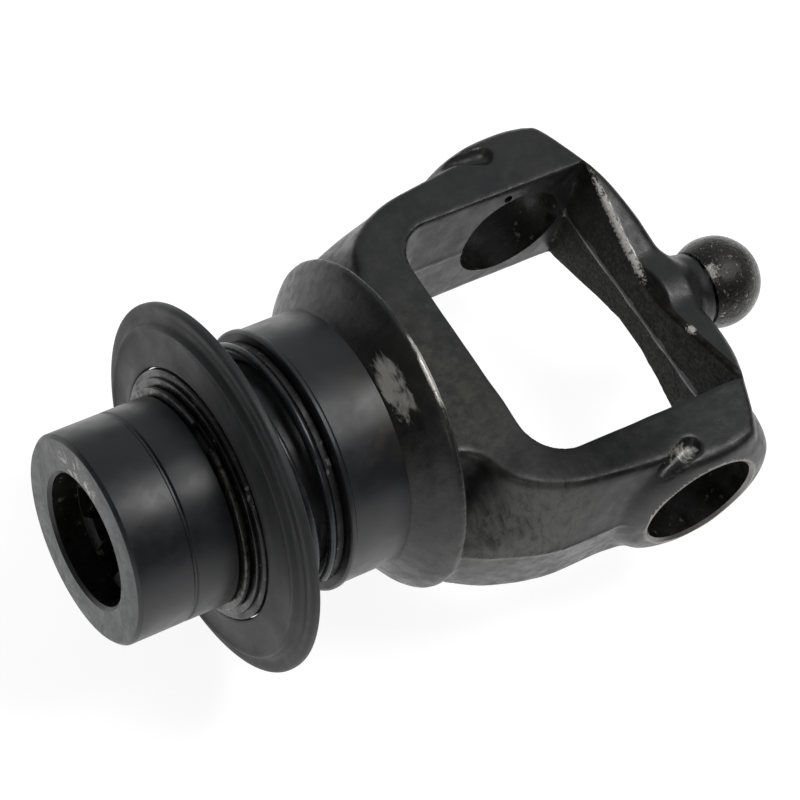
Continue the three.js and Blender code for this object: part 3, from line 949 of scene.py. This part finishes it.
def collar_spring():
    """Round wire swept along its helix."""
    steps, sides = 420, 18
    points = []
    for i in range(steps + 1):
        t = i / steps
        here = spring_line(t)
        ahead = (spring_line(min(t + 0.001, 1)) - spring_line(max(t - 0.001, 0))).normalized()
        out = Vector((0, here.y, here.z)).normalized()
        side = ahead.cross(out).normalized()
        for j in range(sides):
            angle = 2 * math.pi * j / sides
            points.append(here + WIRE_R * (math.cos(angle) * out + math.sin(angle) * side))
    faces = grid_faces(steps + 1, sides)
    faces.append(tuple(range(sides)))
    faces.append(tuple(reversed(range(steps * sides, (steps + 1) * sides))))
    spring = outward(mesh_object("collar_spring_wire", [tuple(p) for p in points], faces, [SPRING]))
    settle(spring, "spring_set", "collar_spring")
    low, high = span("collar_spring")
    at(high, 0, 0)
    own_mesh(spring)
    return spring


def plain_ring(name, node, material, body):
    """A flat ring with eased edges, as big as its CAD node."""
    front, back = span(node)
    outer = span(node, 1)[1]
    profile = [(front, NOSE_R + 0.3), (front, outer), (back, outer), (back, NOSE_R + 0.3)]
    ring = lathe(name, profile, [material], 180)
    return settle(ring, body, node)


def retaining_clip():
    """Round-edged split ring with its gap on top."""
    front, back = span("retaining_clip")
    inner, outer = CLIP_GROOVE_R + 0.3, span("retaining_clip", 1)[1]
    section = eased([(front, inner), (front, outer), (back, outer), (back, inner)], 0.45)
    steps = 150
    half_gap = math.radians(8)
    points = []
    for angle in np.linspace(half_gap, 2 * math.pi - half_gap, steps):
        points += [(x, r * math.sin(angle), r * math.cos(angle)) for x, r in section]
    count = len(section)
    faces = grid_faces(steps, count)
    faces.append(tuple(range(count)))
    faces.append(tuple(reversed(range((steps - 1) * count, steps * count))))
    clip = outward(mesh_object("retaining_clip_wire", points, faces, [CLIP]))
    return settle(clip, "yoke", "retaining_clip")


def ball_angle(i):
    """Angle of a lock ball's hole about the shaft."""
    return (i + 0.5) * 2 * math.pi / LOCK_BALL_COUNT


def lock_ball(i):
    """One locking ball, turned as a sphere across the shaft and swung to its hole."""
    node = f"lock_ball_{i + 1}"
    radius = (span(node)[1] - span(node)[0]) / 2
    angles = np.linspace(0.02, math.pi - 0.02, 40)
    profile = [(LOCK_BALL_REST + radius * math.cos(a), radius * math.sin(a)) for a in angles]
    ball = lathe(f"{node}_ground", profile, [LOCK_BALL], 64, ring=False, across=LOCK_BALL_STATION, ease=0)
    ball.data.transform(Matrix.Rotation(ball_angle(i), 4, "X"))
    return settle(ball, f"ball_{i + 1}", node)


yoke()
centring_ball()
collar_flange()
collar_sleeve()
collar_spring()
plain_ring("spring_seat_ring", "spring_seat", SEAT_GREASE_AND_SHADE, "spring_set")
plain_ring("backup_washer_ring", "backup_washer", RINGS, "yoke")
retaining_clip()
for number in range(LOCK_BALL_COUNT):
    lock_ball(number)


# ---- camera, light and floor ----------------------------------------------------------------

def stage():
    """A pale floor that glows enough to read as white, just under the part."""
    low = CAD_BOX[0].z - 0.1 * MM
    size = 6
    mesh = bpy.data.meshes.new("floor")
    mesh.from_pydata([(-size, -size, low), (size, -size, low), (size, size, low), (-size, size, low)],
                     [], [(0, 1, 2, 3)])
    floor = bpy.data.objects.new("floor", mesh)
    bpy.context.scene.collection.objects.link(floor)
    paint = Paint("floor_white", (0.35, 0.35, 0.35), 0.0, 0.9)
    paint.shader.inputs["Specular IOR Level"].default_value = 0.0
    paint.shader.inputs["Emission Color"].default_value = (1, 1, 1, 1)
    paint.shader.inputs["Emission Strength"].default_value = 0.9
    mesh.materials.append(paint.material)


def area_light(name, place, aim, size, power, color=(1, 1, 1)):
    """A soft box at a place in metres, turned towards its aim."""
    data = bpy.data.lights.new(name, "AREA")
    data.shape = "RECTANGLE"
    data.size, data.size_y = size
    data.energy = power
    data.color = color
    light = bpy.data.objects.new(name, data)
    light.location = place
    light.rotation_euler = (Vector(aim) - Vector(place)).to_track_quat("-Z", "Y").to_euler()
    bpy.context.scene.collection.objects.link(light)


def camera():
    """A long lens from above the nose's near side, given by its three axes and its place."""
    right = Vector((0.8373, -0.5135, 0.1879))
    up = Vector((0.3431, 0.7609, 0.5507))
    back = Vector((-0.4258, -0.3966, 0.8132))
    data = bpy.data.cameras.new("camera")
    data.lens = 155.1
    data.sensor_width = 36
    data.clip_start = 0.01
    data.clip_end = 20
    cam = bpy.data.objects.new("camera", data)
    rotation = Matrix((right, up, back)).transposed()
    cam.matrix_world = Matrix.Translation((-0.3848, -0.3475, 0.7186)) @ rotation.to_4x4()
    bpy.context.scene.collection.objects.link(cam)
    bpy.context.scene.camera = cam


def world():
    """Weak even light from everywhere."""
    made = bpy.data.worlds.new("studio")
    made.use_nodes = True
    background = made.node_tree.nodes["Background"]
    background.inputs["Color"].default_value = (1, 1, 1, 1)
    background.inputs["Strength"].default_value = 0.12
    bpy.context.scene.world = made


stage()
camera()
world()
area_light("key", (0.33, -0.14, 0.8), (0, 0, 0), (0.42, 0.42), 3.7)
area_light("sky", (0.4, 0.8, 0.8), (0, 0, 0), (1.8, 1.2), 2.8, (0.92, 0.96, 1))
area_light("spark", (-0.44, -0.6, 0.52), (0.08, 0, 0), (0.12, 0.12), 0.4)
bpy.context.scene.view_settings.view_transform = "Standard"
